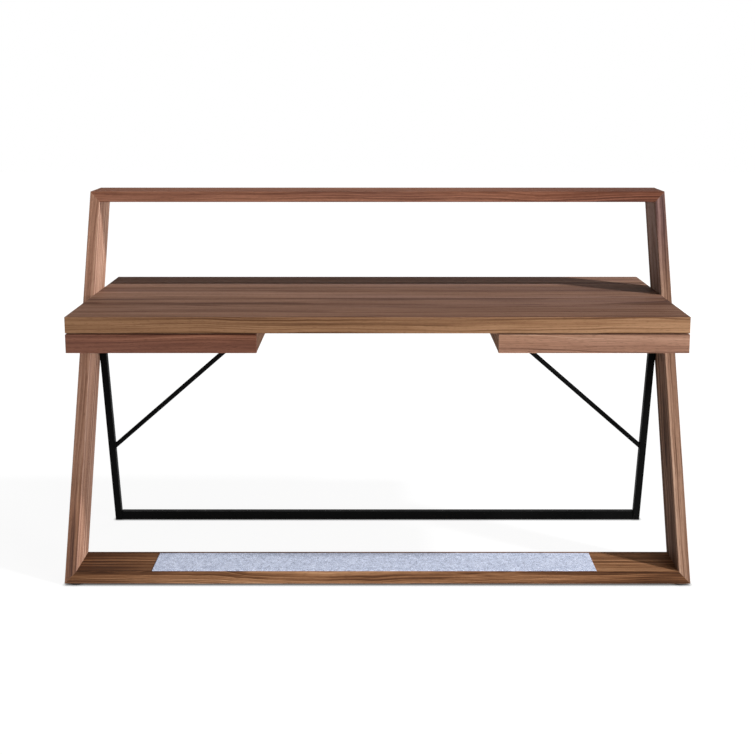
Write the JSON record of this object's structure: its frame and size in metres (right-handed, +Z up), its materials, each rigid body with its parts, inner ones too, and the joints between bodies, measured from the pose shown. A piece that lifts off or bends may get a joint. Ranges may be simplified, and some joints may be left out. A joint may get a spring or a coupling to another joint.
{
  "type": "office desk",
  "caption": "Walnut office desk: a leaning mitred board frame with a shelf above the desktop, a black steel frame behind, a felt strip on the footboard and flat sliding drawers.",
  "frame": {"origin": "on the floor under the middle of the desk's width and depth", "axes": "+X to the sitter's right along the desk's width, +Y from the sitter to the back, +Z up"},
  "size_m": [1.7, 0.625, 1.032],
  "materials": {
    "walnut": "satin oiled walnut",
    "drawer_wood": "matt lacquered hardwood",
    "black_steel": "fine black powder coat",
    "fixing_steel": "zinc plated",
    "slide_steel": "bright zinc",
    "insert_brass": "machined",
    "felt": "mottled wool felt",
    "glide_plastic": "moulded",
    "bumper_rubber": "soft matt"
  },
  "bodies": {
    "desk_frame": {"case_rail_screws": "fixing_steel", "desktop": "walnut", "drawer_bumpers": "bumper_rubber", "felt_mat": "felt", "footboard": "walnut", "frame_bracket_screws": "fixing_steel", "front_glides": "glide_plastic", "housing_dowels": "drawer_wood", "housing_screws": "fixing_steel", "left_brace": "black_steel", "left_brace_plate": "black_steel", "left_case_rails": "slide_steel", "left_frame_bracket": "black_steel", "left_housing_back": "walnut", "left_housing_inner_cheek": "walnut", "left_housing_outer_cheek": "walnut", "left_leg_plate": "black_steel", "left_rear_leg": "black_steel", "left_upright": "walnut", "leg_bolt_inserts": "insert_brass", "leg_bolts": "black_steel", "leg_spacers": "black_steel", "mitre_splines": "drawer_wood", "plate_screws": "fixing_steel", "rear_foot_rail": "black_steel", "rear_glides": "glide_plastic", "right_brace": "black_steel", "right_brace_plate": "black_steel", "right_case_rails": "slide_steel", "right_frame_bracket": "black_steel", "right_housing_back": "walnut", "right_housing_inner_cheek": "walnut", "right_housing_outer_cheek": "walnut", "right_leg_plate": "black_steel", "right_rear_leg": "black_steel", "right_upright": "walnut", "top_shelf": "walnut"},
    "left_drawer": {"left_drawer_back": "drawer_wood", "left_drawer_bottom": "drawer_wood", "left_drawer_dowels": "drawer_wood", "left_drawer_front": "walnut", "left_drawer_inner_side": "drawer_wood", "left_drawer_outer_side": "drawer_wood", "left_drawer_rail_screws": "fixing_steel", "left_drawer_rails": "slide_steel"},
    "right_drawer": {"right_drawer_back": "drawer_wood", "right_drawer_bottom": "drawer_wood", "right_drawer_dowels": "drawer_wood", "right_drawer_front": "walnut", "right_drawer_inner_side": "drawer_wood", "right_drawer_outer_side": "drawer_wood", "right_drawer_rail_screws": "fixing_steel", "right_drawer_rails": "slide_steel"},
    "left_cage_pair": {"left_ball_cages": "slide_steel", "left_slide_balls": "slide_steel"},
    "right_cage_pair": {"right_ball_cages": "slide_steel", "right_slide_balls": "slide_steel"}
  },
  "joints": [
    {"name": "left_drawer_slide", "type": "slide", "parent": "desk_frame", "child": "left_drawer", "axis": [0, -1, 0], "range_m": [0, 0.14]},
    {"name": "left_cage_slide", "type": "slide", "parent": "desk_frame", "child": "left_cage_pair", "axis": [0, -1, 0], "range_m": [0, 0.07]},
    {"name": "right_drawer_slide", "type": "slide", "parent": "desk_frame", "child": "right_drawer", "axis": [0, -1, 0], "range_m": [0, 0.14]},
    {"name": "right_cage_slide", "type": "slide", "parent": "desk_frame", "child": "right_cage_pair", "axis": [0, -1, 0], "range_m": [0, 0.07]}
  ],
  "couplings": [
    {"joint": "left_cage_slide", "follows": "left_drawer_slide", "ratio": 0.5},
    {"joint": "right_cage_slide", "follows": "right_drawer_slide", "ratio": 0.5}
  ]
}
